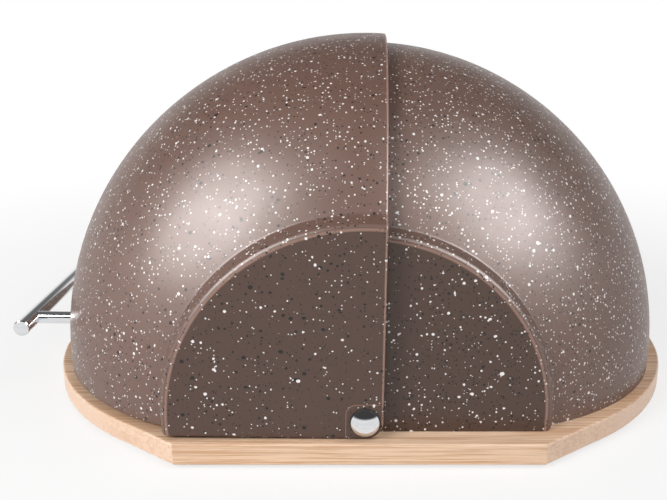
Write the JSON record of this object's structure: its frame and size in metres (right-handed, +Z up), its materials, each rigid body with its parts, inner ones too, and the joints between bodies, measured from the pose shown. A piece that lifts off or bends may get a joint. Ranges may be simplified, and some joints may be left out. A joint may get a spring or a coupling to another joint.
{
  "type": "bread box",
  "caption": "Domed bread box: a speckled plastic lid with a bar handle turns over a fixed rear shell on a bamboo board.",
  "frame": {"origin": "bottom centre of the whole object, on the plane of the feet", "axes": "+X from the handle towards the rear shell, +Y away from the side in the picture, +Z up"},
  "size_m": [0.384, 0.2912, 0.2032],
  "materials": {
    "bamboo": "satin oiled bamboo, fine straight grain along X",
    "shell_plastic": "satin taupe brown plastic with fine white and black specks",
    "lid_plastic": "satin taupe brown plastic with fine white and black specks",
    "polished_steel": "mirror polished",
    "plated_steel": "zinc plated",
    "dark_nylon": "matt",
    "pale_nylon": "satin",
    "foot_rubber": "matt rubber"
  },
  "bodies": {
    "base_body": {"base_board": "bamboo", "rubber_feet": "foot_rubber", "rear_shell": "shell_plastic", "shell_screws": "plated_steel", "pivot_post_front": "polished_steel", "pivot_seal_front": "dark_nylon", "pivot_spacer_front": "pale_nylon", "pivot_washer_front": "plated_steel", "pivot_screw_front": "plated_steel", "pivot_post_back": "polished_steel", "pivot_seal_back": "dark_nylon", "pivot_spacer_back": "pale_nylon", "pivot_washer_back": "plated_steel", "pivot_screw_back": "plated_steel"},
    "lid_body": {"lid": "lid_plastic", "handle_bar": "polished_steel", "handle_post_front": "polished_steel", "handle_post_back": "polished_steel", "handle_screws": "plated_steel", "handle_washers": "plated_steel"}
  },
  "joints": [
    {"name": "lid_turn", "type": "hinge", "parent": "base_body", "child": "lid_body", "pos_m": [0.00822, 0, 0.0232], "axis": [0, 1, 0], "range_deg": [-1, 77]}
  ]
}
